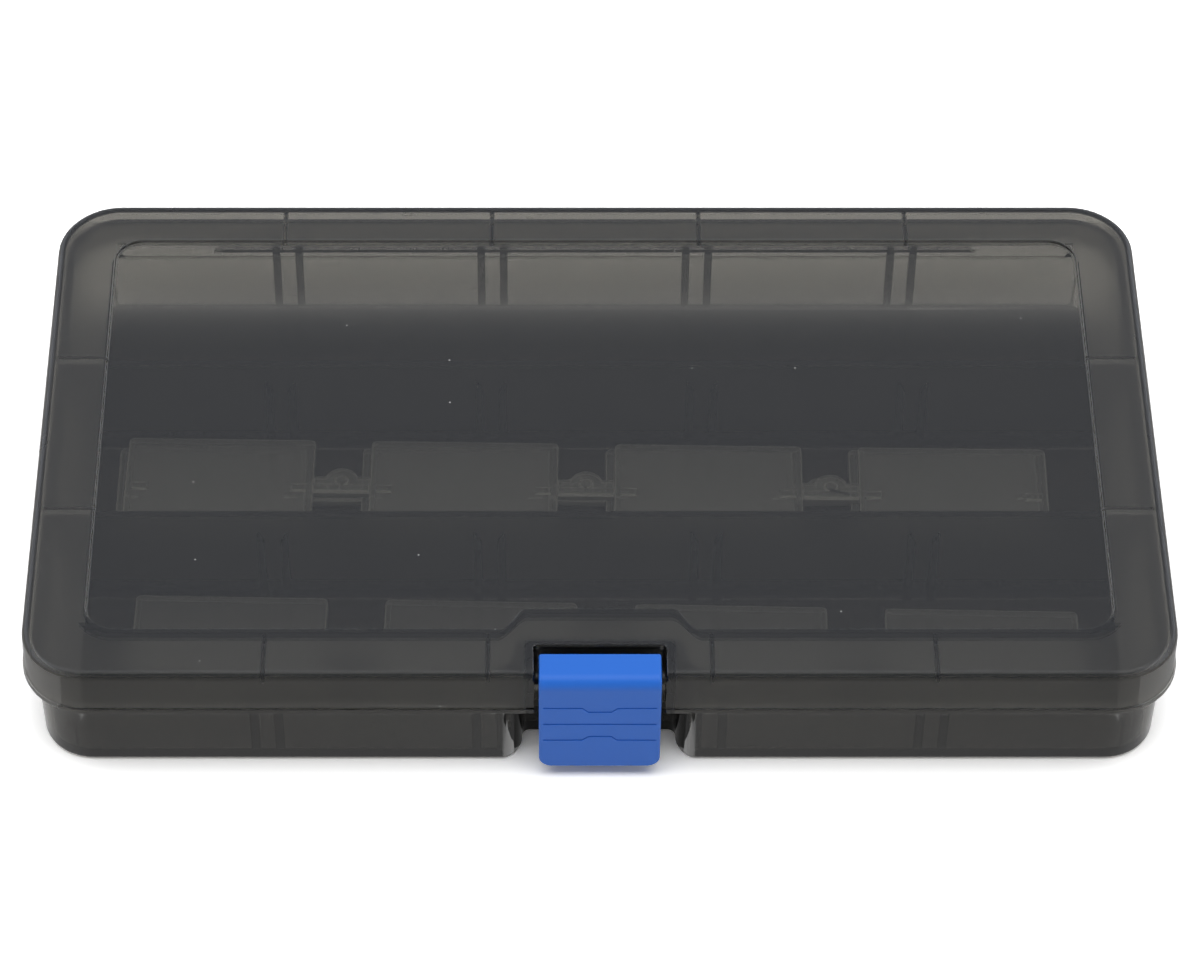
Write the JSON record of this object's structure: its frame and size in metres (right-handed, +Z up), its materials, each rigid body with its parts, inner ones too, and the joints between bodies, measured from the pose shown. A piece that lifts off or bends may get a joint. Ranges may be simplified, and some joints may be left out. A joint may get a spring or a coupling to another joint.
{
  "type": "compartment parts storage box",
  "caption": "Flat smoke-grey translucent box with a hinged window lid, a blue front latch, lengthwise compartments and loose clear dividers still on their moulding runners.",
  "frame": {"origin": "middle of the tray's underside, on the surface that the box stands on", "axes": "+X to the right along the width, +Y to the back where the hinge is, +Z up"},
  "size_m": [0.1758, 0.1032, 0.0225],
  "materials": {
    "smoke_plastic": "smoke-tinted translucent moulded plastic, softly glossy",
    "blue_plastic": "satin opaque moulded plastic",
    "clear_plastic": "pale hazy clear moulded plastic"
  },
  "bodies": {
    "base": {"base_tray": "smoke_plastic", "hinge_web": "smoke_plastic"},
    "lid": {"lid": "smoke_plastic"},
    "latch": {"latch": "blue_plastic"},
    "front_set": {"front_divider_1": "clear_plastic", "front_divider_2": "clear_plastic", "front_divider_3": "clear_plastic", "front_divider_4": "clear_plastic", "front_runner_1": "clear_plastic", "front_runner_2": "clear_plastic", "front_runner_3": "clear_plastic"},
    "lower_set": {"lower_divider_1": "clear_plastic", "lower_divider_2": "clear_plastic", "lower_divider_3": "clear_plastic", "lower_divider_4": "clear_plastic", "lower_runner_1": "clear_plastic", "lower_runner_2": "clear_plastic", "lower_runner_3": "clear_plastic"},
    "upper_set": {"upper_divider_1": "clear_plastic", "upper_divider_2": "clear_plastic", "upper_divider_3": "clear_plastic", "upper_divider_4": "clear_plastic", "upper_runner_1": "clear_plastic", "upper_runner_2": "clear_plastic", "upper_runner_3": "clear_plastic"}
  },
  "joints": [
    {"name": "lid_hinge", "type": "hinge", "parent": "base", "child": "lid", "pos_m": [0, 0.0509, 0.0136], "axis": [-1, 0, 0], "range_deg": [0, 180], "deforming": ["hinge_web"]},
    {"name": "latch_hinge", "type": "hinge", "parent": "lid", "child": "latch", "pos_m": [0, -0.0482, 0.0195], "axis": [-1, 0, 0], "range_deg": [0, 90]},
    {"name": "front_lift", "type": "slide", "parent": "base", "child": "front_set", "axis": [0, 0, 1], "range_m": [0, 0.014]},
    {"name": "lower_lift", "type": "slide", "parent": "base", "child": "lower_set", "axis": [0, 0, 1], "range_m": [0, 0.007]},
    {"name": "upper_lift", "type": "slide", "parent": "lower_set", "child": "upper_set", "axis": [0, 0, 1], "range_m": [0, 0.007]}
  ]
}
